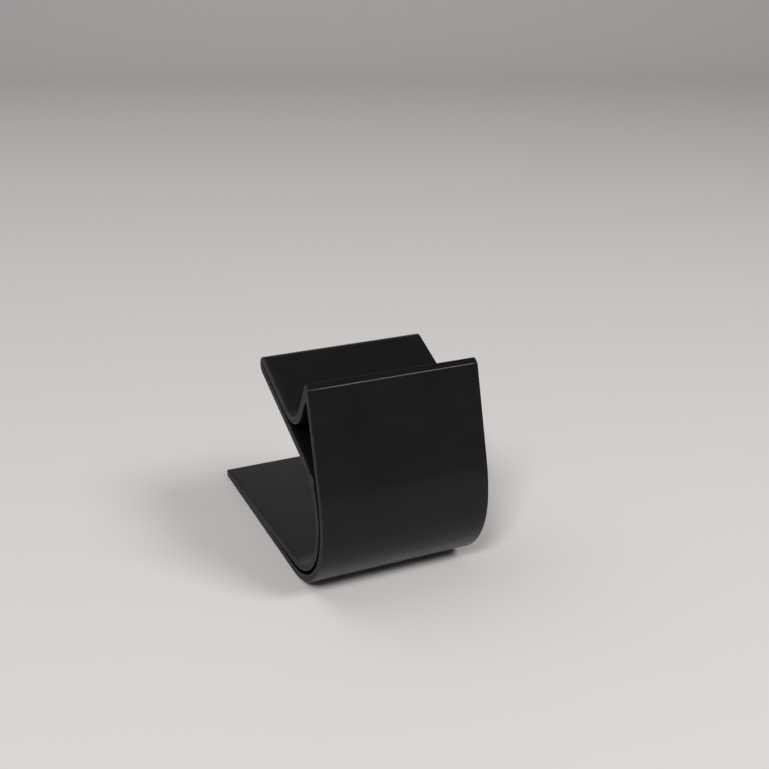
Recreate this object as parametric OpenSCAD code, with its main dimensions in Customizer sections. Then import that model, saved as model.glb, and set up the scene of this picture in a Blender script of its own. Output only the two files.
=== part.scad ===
// Desk stand made of one folded strip, with the same profile all along its width.
// From the rear edge of the base the strip runs forward on the table, turns up into the front panel and
// folds over at the lip. It drops into the round cradle, runs up to the top end and turns back down as
// the support plate. It then follows the front bend on its inner side and lies down on the base again.
// The profile is drawn in y (front to rear) and z (up), from the foremost point on the table.
// The part's origin is on the table, in the middle of the stand's footprint. The front faces -y.

/* [Strip] */
// Width of the stand, which is the length of the profile
stand_w = 50; // [30:1:120]
// Thickness of the strip
strip_t = 2.2; // [1.6:0.1:3]
// Gap between two layers of the strip that run side by side
layer_gap = 1.1; // [0.6:0.1:1.8]

/* [Base] */
// Length of the base, from the foremost point of the bend to the rear edge
base_len = 92.6; // [80:0.2:120]
// Thickness of the base at its rear edge, where both layers have merged
rear_t = 2.4; // [2:0.1:4]

/* [Front] */
// Outer radius of the bend that rises from the table
bend_r = 25.4; // [23:0.2:28]
// Outer radius of the flatter bend above the foremost point
shoulder_r = 43.6; // [32:0.2:60]
// Lean of the front panel towards the rear, from upright
panel_lean = 15.2; // [10:0.2:19]
// Height of the lip's front edge above the table
lip_h = 63.5; // [61:0.5:72]

/* [Cradle] */
// Lean of the wall behind the lip towards the front, from upright
wall_lean = 31; // [24:0.5:38]
// Inner radius of the cradle's round bottom
cradle_r = 8.1; // [6:0.1:9]
// Rise of the support plate towards the rear, from level
plate_rise = 23.1; // [18:0.1:27]
// Length of the support plate, from the inner bend to the top end
plate_len = 37; // [30:0.5:50]

/* [Inner bend] */
// Inner radius of the tight bend that leads into the support plate
crook_r = 10.7; // [8:0.1:13]
// Place where the tight bend begins, as an angle above the middle of the front bend
crook_from = 30; // [20:1:40]

/* [Hidden] */
$fn = 180;

// Angles in the profile, measured from the rear (0) over the top (90) to the front (180)
front_a = 180;
down_a = 270;
// A sloping stretch runs into the bends at its ends by lap, and its faces lie a hair inside theirs,
// so that no two surfaces almost touch where the pieces are joined
lap = 0.05;
hair = 0.004;

// A point at radius r and angle a from c
function polar(c, r, a) = c + r * [cos(a), sin(a)];

// The point whose distance is d1 from the line through p1 and d2 from the line through p2,
// where n1 and n2 are the lines' unit normals
function meet(p1, n1, d1, p2, n2, d2) =
    let (s1 = n1 * p1 + d1, s2 = n2 * p2 + d2, det = n1[0] * n2[1] - n1[1] * n2[0])
    [(s1 * n2[1] - s2 * n1[1]) / det, (n1[0] * s2 - n2[0] * s1) / det];

// Radii of the layers in the front bend
outer_in_r = bend_r - strip_t;
inner_out_r = outer_in_r - layer_gap;
inner_in_r = inner_out_r - strip_t;
crook_out_r = crook_r + strip_t;
cradle_out_r = cradle_r + strip_t;

// Centres of the bends on the outer side
bend_c = [bend_r, bend_r];
shoulder_c = [shoulder_r, bend_r];

// Front panel, along its front face
panel_a = 90 - panel_lean;
panel_foot = polar(shoulder_c, shoulder_r, front_a - panel_lean);
panel_len = (lip_h - panel_foot[1]) / sin(panel_a);
lip_front = polar(panel_foot, panel_len, panel_a);

// Wall behind the lip: its top is cut square, and its rear face starts at the top's rear corner
wall_a = down_a + wall_lean;
wall_n = [cos(wall_lean), sin(wall_lean)];
lip_rear = lip_front + strip_t * wall_n;

// Tight bend and support plate of the inner layer
crook_a = front_a - crook_from;
crook_c = polar(bend_c, inner_in_r - crook_r, crook_a);
plate_n_a = 90 + plate_rise;
plate_n = [cos(plate_n_a), sin(plate_n_a)];
plate_foot = polar(crook_c, crook_out_r, plate_n_a);
plate_top = polar(plate_foot, plate_len, plate_rise);

// The cradle's bottom touches the wall's rear face and lies one gap above the support plate
cradle_c = meet(lip_rear, wall_n, cradle_r, plate_foot, plate_n, cradle_out_r + layer_gap);
wall_len = (cradle_c - lip_rear) * [cos(wall_a), sin(wall_a)];
rest_foot = polar(cradle_c, cradle_out_r, plate_n_a + 180);
rest_len = (plate_top - rest_foot) * [cos(plate_rise), sin(plate_rise)];

// Top end, where the strip turns back on itself
nose_c = plate_top + layer_gap / 2 * plate_n;
nose_out_r = strip_t + layer_gap / 2;

// Upper layer of the base: its top face touches the inner bend and ends at the rear edge
rear_top = [base_len, rear_t];
rear_gap = bend_c - rear_top;
floor_slope = atan2(rear_gap[1], -rear_gap[0]) - asin(inner_in_r / norm(rear_gap));
floor_a = down_a - floor_slope;
floor_foot = polar(bend_c, inner_out_r, floor_a);
floor_len = (rear_top - floor_foot) * [cos(floor_slope), -sin(floor_slope)];

// A sloping stretch of the strip, with one face from p along angle a and the strip on its left.
// It starts early by the given amount.
module straight(p, a, length, early = lap) {
    translate(p) rotate(a) translate([-early, hair]) square([length + early + lap, strip_t - 2 * hair]);
}

// A bend of the strip round c, between two angles less than 180 degrees apart
module bend(c, r_in, from_a, to_a) {
    r_out = r_in + strip_t;
    reach = 2 * r_out;
    start = polar(c, reach, from_a);
    middle = polar(c, reach, (from_a + to_a) / 2);
    end = polar(c, reach, to_a);
    intersection() {
        translate(c) difference() {
            circle(r_out);
            circle(r_in);
        }
        polygon([c, start, middle, end]);
    }
}

// Lower layer of the base
module base_layer() {
    translate([bend_r, 0]) square([base_len - bend_r, strip_t]);
}

// Front bend and the flatter bend above it
module front_bend() {
    bend(bend_c, outer_in_r, front_a, down_a);
    bend(shoulder_c, shoulder_r - strip_t, front_a - panel_lean, front_a);
}

// Front panel and the wall behind the lip, trimmed to the panel's front face and the lip's top
module lip() {
    difference() {
        union() {
            straight(lip_front, panel_a + 180, panel_len, strip_t / 4);
            straight(lip_front, wall_a, wall_len, strip_t);
        }
        translate(lip_front) rotate(panel_a) translate([-panel_len, -hair]) square([2 * panel_len, strip_t]);
        translate(lip_front) rotate(wall_lean) translate([-strip_t, 0]) square([3 * strip_t, 3 * strip_t]);
    }
}

// Round bottom of the cradle and the stretch that rests one gap above the support plate
module cradle_layer() {
    bend(cradle_c, cradle_r, front_a + wall_lean, plate_n_a + 180);
    straight(rest_foot, plate_rise, rest_len);
}

// Top end, where the strip turns through half a circle
module top_end() {
    intersection() {
        translate(nose_c) difference() {
            circle(nose_out_r);
            circle(layer_gap / 2);
        }
        translate(nose_c) rotate(plate_rise) translate([0, -nose_out_r]) square(2 * nose_out_r);
    }
}

// Support plate, tight bend and inner side of the front bend
module inner_layer() {
    straight(plate_top, plate_rise + 180, plate_len);
    bend(crook_c, crook_r, plate_n_a, crook_a);
    bend(bend_c, inner_in_r, crook_a, floor_a);
}

// Upper layer of the base, which runs down to the rear edge and closes the gap on the way
module floor_layer() {
    intersection() {
        straight(floor_foot, -floor_slope, floor_len + strip_t);
        square([base_len, bend_r]);
    }
}

// One stretch of the profile, run out over the stand's width
module across() {
    translate([0, -base_len / 2, 0]) rotate([90, 0, 90]) linear_extrude(stand_w, center = true) children();
}

module stand() {
    color([0.13, 0.13, 0.14]) {
        across() base_layer();
        across() front_bend();
        across() lip();
        across() cradle_layer();
        across() top_end();
        across() inner_layer();
        across() floor_layer();
    }
}

stand();
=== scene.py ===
import math

import bmesh
import bpy
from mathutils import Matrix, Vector


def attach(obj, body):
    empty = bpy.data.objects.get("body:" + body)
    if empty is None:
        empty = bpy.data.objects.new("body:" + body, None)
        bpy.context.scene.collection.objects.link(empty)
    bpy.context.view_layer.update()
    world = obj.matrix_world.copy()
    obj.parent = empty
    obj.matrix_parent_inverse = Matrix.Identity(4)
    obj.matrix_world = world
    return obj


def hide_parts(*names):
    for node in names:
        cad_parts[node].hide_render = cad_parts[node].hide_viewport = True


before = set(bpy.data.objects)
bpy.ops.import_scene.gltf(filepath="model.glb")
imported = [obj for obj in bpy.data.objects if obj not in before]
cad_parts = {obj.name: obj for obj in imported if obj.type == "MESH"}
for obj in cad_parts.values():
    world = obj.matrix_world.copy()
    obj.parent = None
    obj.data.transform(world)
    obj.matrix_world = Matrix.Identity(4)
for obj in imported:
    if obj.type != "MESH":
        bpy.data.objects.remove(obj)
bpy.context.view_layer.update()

# Sizes of the strip's profile in millimetres and degrees, the same as in the part's source.
# The profile is drawn in y (front to rear) and z (up), from the foremost point on the floor.
STAND_W = 50.0  # width of the stand, along which the profile stays the same
STRIP_T = 2.2  # thickness of the strip
LAYER_GAP = 1.1  # gap between two layers that run side by side
BASE_LEN = 92.6  # length of the base, from the foremost point to the rear edge
REAR_T = 2.4  # thickness of the base at its rear edge
BEND_R = 25.4  # outer radius of the bend that rises from the floor
SHOULDER_R = 43.6  # outer radius of the flatter bend above the foremost point
PANEL_LEAN = 15.2  # lean of the front panel towards the rear, from upright
LIP_H = 63.5  # height of the lip's front edge before it is rounded
WALL_LEAN = 31.0  # lean of the wall behind the lip towards the front, from upright
CRADLE_R = 8.1  # inner radius of the cradle's round bottom
PLATE_RISE = 23.1  # rise of the support plate towards the rear, from level
PLATE_LEN = 37.0  # length of the support plate
CROOK_R = 10.7  # inner radius of the tight bend that leads into the support plate
CROOK_FROM = 30.0  # place where the tight bend begins, above the middle of the front bend

# Roundings and the end of the gap, in millimetres
EDGE_R = 0.35  # rounding of the lip's rear edge and of the base's two rear edges
SIDE_R = 0.32  # rounding of the edges round the two cut sides
LIP_R = 0.9  # rounding of the lip's front edge and of the fold inside the lip
GAP_END = 0.12  # width at which the gap in the base ends bluntly

# Fineness of the mesh: steps in millimetres, turns in degrees, and counts
ARC_STEP = 0.6  # longest step along a bend
ARC_TURN = 4  # largest turn in one step of a bend
ARC_STEPS_MIN = 4  # fewest steps in a bend
STRAIGHT_STEP = 2.5  # longest step along a straight stretch
SIDE_STEPS = 4  # steps in the rounding of a side's edge
WIDTH_STEPS = 20  # steps across the width between the two roundings
CORNER_MOVE = 2.5  # longest move of a corner point, as a multiple of the inset
SHARP_TURN = 35  # turn between two faces above which their edge is shaded as sharp

# Angles in degrees. In the profile they are measured from the rear over the top to the front.
REAR = 0
TOP = 90
FRONT = 180
BOTTOM = 270
QUARTER_TURN = 90
HALF_TURN = 180

# Side on which the solid lies, as seen along a loop of the profile
SOLID_LEFT = 1
SOLID_RIGHT = -1

MM = 0.001  # one millimetre in metres

# Black plastic: linear colours, and noises with their scale in waves per metre
BLACK_LOW = (0.0017, 0.0017, 0.0018, 1)
BLACK_HIGH = (0.0044, 0.0044, 0.0045, 1)
# Lighter grey in noise spots along the rounded edges of the cut sides: partly rubbed wear, partly a
# painted edge highlight
EDGE_WEAR_AND_HIGHLIGHT_GREY = (0.035, 0.035, 0.036, 1)
CLOUDS = {"Scale": 55.0, "Detail": 4.0, "Roughness": 0.55}
SMUDGES = {"Scale": 130.0, "Detail": 3.0, "Roughness": 0.6}
EDGE_WEAR_AND_HIGHLIGHT_SPOTS = {"Scale": 420.0, "Detail": 5.0, "Roughness": 0.7}
GRAIN = {"Scale": 2600.0, "Detail": 3.0, "Roughness": 0.6}
GRAIN_BUMP = {"Strength": 0.2, "Distance": 0.00006}  # the distance is the grain's height in metres
# Noise values at which the lighter edge grey (wear and painted highlight) starts and is strongest, and its
# largest share
SPOTS_TO_WEAR_AND_HIGHLIGHT = {"From Min": 0.48, "From Max": 0.7, "To Max": 0.6}
SHEEN_LOW = 0.65  # sum of grain and smudges where the plastic is smoothest
SHEEN_HIGH = 1.35  # the same where it is roughest
PLASTIC_IOR = 1.46
CUT_SIDE_SLOT = 1  # place of the cut sides' plastic among the stand's materials
NODE_STEP = 300  # distance between columns and rows of nodes in the node editor

# Floor and backdrop: one pale sheet, with its sizes in metres and its turn about the origin in degrees
SHEET_FRONT = -2.0
SHEET_BACK = 1.6
SHEET_TOP = 2.4
SHEET_HALF_W = 3.0
SHEET_BEND_R = 0.5
SHEET_BEND_STEPS = 15
SHEET_TURN = 24
SHEET_COLOUR = (0.62, 0.595, 0.585, 1)
SHEET_ROUGHNESS = 0.7
SHEET_GLOSS = 0.2

# Camera at the photograph's place and angle: lens and sensor in millimetres, the rest in metres
CAMERA_PLACE = (-0.11532, -0.28969, 0.17468)
CAMERA_LOOK = (0.3760, 0.8455, -0.3790)
CAMERA_LENS = 52.37
CAMERA_SENSOR = 36.0
CAMERA_NEAR = 0.01

# Point in the stand that the lamps shine at, in metres
LAMP_AIM = (0, 0, 0.03)

# Even light from all round
WORLD_COLOUR = (0.95, 0.97, 1.0, 1)
WORLD_STRENGTH = 0.16


def polar(centre, radius, angle):
    """The point at a radius and an angle from the centre."""
    turn = math.radians(angle)
    return Vector((centre[0] + radius * math.cos(turn), centre[1] + radius * math.sin(turn)))


def unit(angle):
    """The unit vector at an angle."""
    return polar((0, 0), 1, angle)


def meet(point_1, normal_1, distance_1, point_2, normal_2, distance_2):
    """The point at distance_1 from the line through point_1 and distance_2 from that through point_2."""
    reach_1 = normal_1.dot(point_1) + distance_1
    reach_2 = normal_2.dot(point_2) + distance_2
    det = normal_1[0] * normal_2[1] - normal_1[1] * normal_2[0]
    y = (reach_1 * normal_2[1] - reach_2 * normal_1[1]) / det
    z = (normal_1[0] * reach_2 - normal_2[0] * reach_1) / det
    return Vector((y, z))


# Radii of the strip's two layers in the front bend
outer_in_r = BEND_R - STRIP_T
inner_out_r = outer_in_r - LAYER_GAP
inner_in_r = inner_out_r - STRIP_T

# Centres of the front bend and of the flatter bend above it
bend_c = Vector((BEND_R, BEND_R))
shoulder_c = Vector((SHOULDER_R, BEND_R))

# Front panel, along its front face and at the foot of its rear face
panel_a = TOP - PANEL_LEAN
panel_n_a = FRONT - PANEL_LEAN
panel_n = unit(panel_n_a)
panel_foot = polar(shoulder_c, SHOULDER_R, panel_n_a)
panel_back = polar(shoulder_c, SHOULDER_R - STRIP_T, panel_n_a)
panel_len = (LIP_H - panel_foot[1]) / math.sin(math.radians(panel_a))

# Lip, whose top is cut square to the wall behind it, with the centres of its roundings
lip_n_a = TOP + WALL_LEAN
lip_n = unit(lip_n_a)
wall_n = unit(WALL_LEAN)
lip_front = polar(panel_foot, panel_len, panel_a)
lip_rear = lip_front + STRIP_T * wall_n
lip_front_c = meet(lip_front, panel_n, -LIP_R, lip_front, lip_n, -LIP_R)
lip_rear_c = lip_rear - EDGE_R * wall_n - EDGE_R * lip_n
lip_inside_c = meet(panel_back, panel_n, -LIP_R, lip_front, wall_n, -LIP_R)

# Tight bend and support plate
crook_a = FRONT - CROOK_FROM
crook_c = polar(bend_c, inner_in_r - CROOK_R, crook_a)
plate_n_a = TOP + PLATE_RISE
plate_n = unit(plate_n_a)
plate_foot = polar(crook_c, CROOK_R + STRIP_T, plate_n_a)
plate_top = polar(plate_foot, PLATE_LEN, PLATE_RISE)

# Cradle, which touches the wall and lies one gap above the support plate, and the top end
cradle_c = meet(lip_rear, wall_n, CRADLE_R, plate_foot, plate_n, CRADLE_R + STRIP_T + LAYER_GAP)
cradle_end_a = BOTTOM + PLATE_RISE
nose_c = plate_top + LAYER_GAP / 2 * plate_n

# Top face of the base, from the front bend down to the rear edge, with the rear edges' roundings
rear_top = Vector((BASE_LEN, REAR_T))
rear_gap = bend_c - rear_top
slope = math.degrees(math.atan2(rear_gap[1], -rear_gap[0]) - math.asin(inner_in_r / rear_gap.length))
base_a = BOTTOM - slope
base_n_a = TOP - slope
rear_top_c = meet(rear_top, unit(base_n_a), -EDGE_R, rear_top, unit(REAR), -EDGE_R)
rear_low_c = (BASE_LEN - EDGE_R, EDGE_R)

# Blunt end of the gap in the base
gap_foot = polar(bend_c, inner_out_r, base_a)
gap_end_y = gap_foot[0] + (gap_foot[1] - STRIP_T - GAP_END) / math.tan(math.radians(slope))


def arc(centre, radius, start, end):
    """Points of an arc between two angles, with both ends."""
    turn = abs(math.radians(end - start))
    by_length = math.ceil(turn * radius / ARC_STEP)
    by_turn = math.ceil(turn / math.radians(ARC_TURN))
    steps = max(ARC_STEPS_MIN, by_length, by_turn)
    return [polar(centre, radius, start + (end - start) * k / steps) for k in range(steps + 1)]


def outer_loop():
    """The profile's outer edge, clockwise from the bottom of the front bend."""
    loop = arc(bend_c, BEND_R, BOTTOM, FRONT)
    loop += arc(shoulder_c, SHOULDER_R, FRONT, panel_n_a)[1:]
    loop += arc(lip_front_c, LIP_R, panel_n_a, lip_n_a)
    loop += arc(lip_rear_c, EDGE_R, lip_n_a, WALL_LEAN)
    loop += arc(cradle_c, CRADLE_R, FRONT + WALL_LEAN, cradle_end_a)
    loop += arc(nose_c, STRIP_T + LAYER_GAP / 2, plate_n_a, plate_n_a - HALF_TURN)
    loop += arc(crook_c, CROOK_R, plate_n_a, crook_a)
    loop += arc(bend_c, inner_in_r, crook_a, base_a)[1:]
    loop += arc(rear_top_c, EDGE_R, base_n_a, REAR)
    loop += arc(rear_low_c, EDGE_R, REAR, REAR - QUARTER_TURN)
    return loop


def gap_loop():
    """The edge of the closed gap inside the profile, clockwise from its blunt end in the base."""
    loop = [Vector((gap_end_y, STRIP_T)), Vector((BEND_R, STRIP_T))]
    loop += arc(bend_c, outer_in_r, BOTTOM, FRONT)[1:]
    loop += arc(shoulder_c, SHOULDER_R - STRIP_T, FRONT, panel_n_a)[1:]
    loop += arc(lip_inside_c, LIP_R, panel_n_a, WALL_LEAN)
    loop += arc(cradle_c, CRADLE_R + STRIP_T, FRONT + WALL_LEAN, cradle_end_a)
    loop += arc(nose_c, LAYER_GAP / 2, plate_n_a, plate_n_a - HALF_TURN)
    loop += arc(crook_c, CROOK_R + STRIP_T, plate_n_a, crook_a)
    loop += arc(bend_c, inner_out_r, crook_a, base_a)[1:]
    loop.append(Vector((gap_end_y, STRIP_T + GAP_END)))
    return loop


def fill_in(loop):
    """Adds points on long straight stretches, so that the shading and the lighter edge grey (wear and
    painted highlight) stay even.
    """
    filled = []
    for i, point in enumerate(loop):
        following = loop[(i + 1) % len(loop)]
        extra = int((following - point).length / STRAIGHT_STEP)
        filled.append(point)
        filled += [point.lerp(following, k / (extra + 1)) for k in range(1, extra + 1)]
    return filled


def inward(loop, side):
    """The move of each point for one millimetre of inset, into the solid on that side of the loop."""
    moves = []
    for i, point in enumerate(loop):
        before = (point - loop[i - 1]).normalized()
        after = (loop[(i + 1) % len(loop)] - point).normalized()
        normal_before = Vector((-before[1], before[0])) * side
        normal_after = Vector((-after[1], after[0])) * side
        middle = (normal_before + normal_after).normalized()
        moves.append(middle / max(1 / CORNER_MOVE, middle.dot(normal_before)))
    return moves


def rings():
    """The mesh's rings from left to right, each with its place, its inset and its share of the lighter
    edge grey (partly wear, partly painted highlight).
    """
    half = STAND_W / 2
    rounding = []
    for k in range(SIDE_STEPS + 1):
        turn = math.radians(QUARTER_TURN * k / SIDE_STEPS)
        x = half - SIDE_R * (1 - math.cos(turn))
        inset = SIDE_R * (1 - math.sin(turn))
        # the rounding's inner rings get the lighter edge grey: partly wear, partly a painted highlight
        wear_and_highlight_share = 1.0 if 0 < k < SIDE_STEPS else 0.0
        rounding.append((x, inset, wear_and_highlight_share))
    flat = half - SIDE_R
    spread = [(flat - 2 * flat * k / WIDTH_STEPS, 0.0, 0.0) for k in range(1, WIDTH_STEPS)]
    left = [(-x, inset, wear_and_highlight_share) for x, inset, wear_and_highlight_share in rounding + spread]
    return left + rounding[::-1]


def add_skin(bm, wear_and_highlight_layer, loop, side):
    """Runs a loop of the profile out over the width and gives its rings of vertices."""
    moves = inward(loop, side)
    rows = []
    for x, inset, wear_and_highlight_share in rings():
        row = []
        for point, move in zip(loop, moves):
            y, z = point + move * inset
            vertex = bm.verts.new((x * MM, (y - BASE_LEN / 2) * MM, z * MM))
            vertex[wear_and_highlight_layer] = wear_and_highlight_share
            row.append(vertex)
        rows.append(row)
    for low, high in zip(rows, rows[1:]):
        for i in range(len(loop)):
            j = (i + 1) % len(loop)
            bm.faces.new((low[i], low[j], high[j], high[i])).smooth = True
    return rows


def close_sides(bm, skins):
    """Closes the left and the right side with flat cut faces between the two loops."""
    for end in (0, -1):
        edges = []
        for rows in skins:
            row = rows[end]
            edges += [bm.edges.get((row[i], row[(i + 1) % len(row)])) for i in range(len(row))]
        made = bmesh.ops.triangle_fill(bm, edges=edges, use_beauty=True)
        for face in made["geom"]:
            if isinstance(face, bmesh.types.BMFace):
                face.smooth = False
                face.material_index = CUT_SIDE_SLOT


def as_object(name, bm):
    """Turns a finished mesh into an object of the scene."""
    mesh = bpy.data.meshes.new(name)
    bm.to_mesh(mesh)
    bm.free()
    obj = bpy.data.objects.new(name, mesh)
    bpy.context.scene.collection.objects.link(obj)
    return obj


def make_stand():
    """The whole strip as one closed mesh, with rounded edges and flat cut sides."""
    bm = bmesh.new()
    # this layer marks where the lighter edge grey goes: partly wear, partly a painted highlight
    wear_and_highlight_layer = bm.verts.layers.float.new("edge")
    outer_skin = add_skin(bm, wear_and_highlight_layer, fill_in(outer_loop()), SOLID_RIGHT)
    gap_skin = add_skin(bm, wear_and_highlight_layer, fill_in(gap_loop()), SOLID_LEFT)
    close_sides(bm, (outer_skin, gap_skin))
    bmesh.ops.recalc_face_normals(bm, faces=bm.faces)
    for edge in bm.edges:
        if edge.calc_face_angle(0) > math.radians(SHARP_TURN):
            edge.smooth = False
    return as_object("stand_strip", bm)


def node(tree, kind, column, row, settings):
    """Adds a shader node. Each setting is the value of an input, or else one of the node's own."""
    added = tree.nodes.new(kind)
    added.location = (column * NODE_STEP, row * NODE_STEP)
    for name, value in settings.items():
        if name in added.inputs:
            added.inputs[name].default_value = value
        else:
            setattr(added, name, value)
    return added


def noise(tree, coordinates, row, settings):
    """Adds a noise that goes through the piece and gives its output."""
    added = node(tree, "ShaderNodeTexNoise", 1, row, settings)
    tree.links.new(coordinates.outputs["Object"], added.inputs["Vector"])
    return added.outputs["Fac"]


def plastic_colour(tree, coordinates):
    """Near black with faint clouds, lighter in spots along the rounded edges: partly rubbed wear, partly a
    painted edge highlight.
    """
    spots = node(tree, "ShaderNodeMapRange", 2, 1, SPOTS_TO_WEAR_AND_HIGHLIGHT)
    at_edge = node(tree, "ShaderNodeAttribute", 2, 2, {"attribute_name": "edge"})
    wear_and_highlight = node(tree, "ShaderNodeMath", 3, 2, {"operation": "MULTIPLY"})
    black = node(tree, "ShaderNodeMixRGB", 3, 3, {"Color1": BLACK_LOW, "Color2": BLACK_HIGH})
    # the lighter grey along the rounded edges is partly rubbed wear, partly a painted highlight
    colour = node(tree, "ShaderNodeMixRGB", 4, 2, {"Color2": EDGE_WEAR_AND_HIGHLIGHT_GREY})
    link = tree.links.new
    link(noise(tree, coordinates, 1, EDGE_WEAR_AND_HIGHLIGHT_SPOTS), spots.inputs["Value"])
    link(at_edge.outputs["Fac"], wear_and_highlight.inputs[0])
    link(spots.outputs["Result"], wear_and_highlight.inputs[1])
    link(noise(tree, coordinates, 3, CLOUDS), black.inputs["Fac"])
    link(black.outputs["Color"], colour.inputs["Color1"])
    link(wear_and_highlight.outputs[0], colour.inputs["Fac"])
    return colour.outputs["Color"]


def plastic_roughness(tree, coordinates, grain, rough_from, rough_to):
    """Grain and smudges together, spread over the range of roughness."""
    sheen = node(tree, "ShaderNodeMath", 3, 0, {"operation": "ADD"})
    spread = {"From Min": SHEEN_LOW, "From Max": SHEEN_HIGH, "To Min": rough_from, "To Max": rough_to}
    roughness = node(tree, "ShaderNodeMapRange", 4, 0, spread)
    link = tree.links.new
    link(grain, sheen.inputs[0])
    link(noise(tree, coordinates, 0, SMUDGES), sheen.inputs[1])
    link(sheen.outputs[0], roughness.inputs["Value"])
    return roughness.outputs["Result"]


def plastic(name, gloss, rough_from, rough_to):
    """Matt near-black plastic: a fine grain, faint cloudiness and slightly lighter edges, partly rubbed
    wear and partly a painted highlight.
    """
    material = bpy.data.materials.new(name)
    material.use_nodes = True
    tree = material.node_tree
    tree.nodes.clear()
    coordinates = node(tree, "ShaderNodeTexCoord", 0, 0, {})
    grain = noise(tree, coordinates, -1, GRAIN)
    bump = node(tree, "ShaderNodeBump", 4, -1, GRAIN_BUMP)
    surface = {"IOR": PLASTIC_IOR, "Specular IOR Level": gloss}
    shader = node(tree, "ShaderNodeBsdfPrincipled", 5, 0, surface)
    output = node(tree, "ShaderNodeOutputMaterial", 6, 0, {})
    link = tree.links.new
    link(plastic_colour(tree, coordinates), shader.inputs["Base Color"])
    link(plastic_roughness(tree, coordinates, grain, rough_from, rough_to), shader.inputs["Roughness"])
    link(grain, bump.inputs["Height"])
    link(bump.outputs["Normal"], shader.inputs["Normal"])
    link(shader.outputs["BSDF"], output.inputs["Surface"])
    return material


def pale_paint():
    """The plain pale paint of the floor and the backdrop."""
    material = bpy.data.materials.new("pale_floor")
    material.use_nodes = True
    shader = material.node_tree.nodes["Principled BSDF"]
    shader.inputs["Base Color"].default_value = SHEET_COLOUR
    shader.inputs["Roughness"].default_value = SHEET_ROUGHNESS
    shader.inputs["Specular IOR Level"].default_value = SHEET_GLOSS
    return material


def make_floor():
    """One pale sheet: the floor, a round bend and an upright backdrop, far behind the stand."""
    bend_y = SHEET_BACK - SHEET_BEND_R
    path = [(SHEET_FRONT, 0.0), (bend_y, 0.0)]
    for k in range(1, SHEET_BEND_STEPS + 1):
        bent = math.radians(QUARTER_TURN * k / SHEET_BEND_STEPS)
        path.append((bend_y + SHEET_BEND_R * math.sin(bent), SHEET_BEND_R - SHEET_BEND_R * math.cos(bent)))
    path.append((SHEET_BACK, SHEET_TOP))

    bm = bmesh.new()
    turned_cos = math.cos(math.radians(SHEET_TURN))
    turned_sin = math.sin(math.radians(SHEET_TURN))
    rows = []
    for y, z in path:
        row = []
        for x in (-SHEET_HALF_W, SHEET_HALF_W):
            row.append(bm.verts.new((x * turned_cos + y * turned_sin, y * turned_cos - x * turned_sin, z)))
        rows.append(row)
    for low, high in zip(rows, rows[1:]):
        bm.faces.new((low[0], low[1], high[1], high[0])).smooth = True
    floor = as_object("floor", bm)
    floor.data.materials.append(pale_paint())
    return floor


def put(name, data, place, look):
    """Puts a camera or a lamp in its place, looking along a direction."""
    obj = bpy.data.objects.new(name, data)
    obj.location = place
    obj.rotation_euler = look.to_track_quat("-Z", "Y").to_euler()
    bpy.context.scene.collection.objects.link(obj)
    return obj


def add_camera():
    """The scene's camera."""
    data = bpy.data.cameras.new("camera")
    data.sensor_width = CAMERA_SENSOR
    data.lens = CAMERA_LENS
    data.clip_start = CAMERA_NEAR
    bpy.context.scene.camera = put("camera", data, CAMERA_PLACE, Vector(CAMERA_LOOK))


def add_lamp(name, place, size, power):
    """A soft square lamp that shines at the stand, with its size in metres and its power in watts."""
    data = bpy.data.lights.new(name, "AREA")
    data.energy = power
    data.size = size
    put(name, data, place, Vector(LAMP_AIM) - Vector(place))


def add_world():
    """Weak, even light from all round."""
    world = bpy.data.worlds.new("even_light")
    world.use_nodes = True
    background = world.node_tree.nodes["Background"]
    background.inputs["Color"].default_value = WORLD_COLOUR
    background.inputs["Strength"].default_value = WORLD_STRENGTH
    bpy.context.scene.world = world


# The stand, with the plastic of its faces and the matter plastic of its cut sides
stand = make_stand()
stand.data.materials.append(plastic("matt_black_plastic", gloss=0.29, rough_from=0.28, rough_to=0.39))
stand.data.materials.append(plastic("matt_black_cut_side", gloss=0.2, rough_from=0.45, rough_to=0.55))
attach(stand, "root")
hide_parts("stand")

make_floor()
add_camera()

# Two lamps in front, to the right and to the left, and a wider and weaker one above and behind
add_lamp("front_right", place=(0.50, -0.80, 0.95), size=0.4, power=8.5)
add_lamp("above_rear", place=(-0.55, 0.45, 1.2), size=1.1, power=5.0)
add_lamp("front_left", place=(-0.75, -1.0, 1.15), size=0.4, power=16.5)
add_world()
bpy.context.scene.view_settings.view_transform = "Standard"
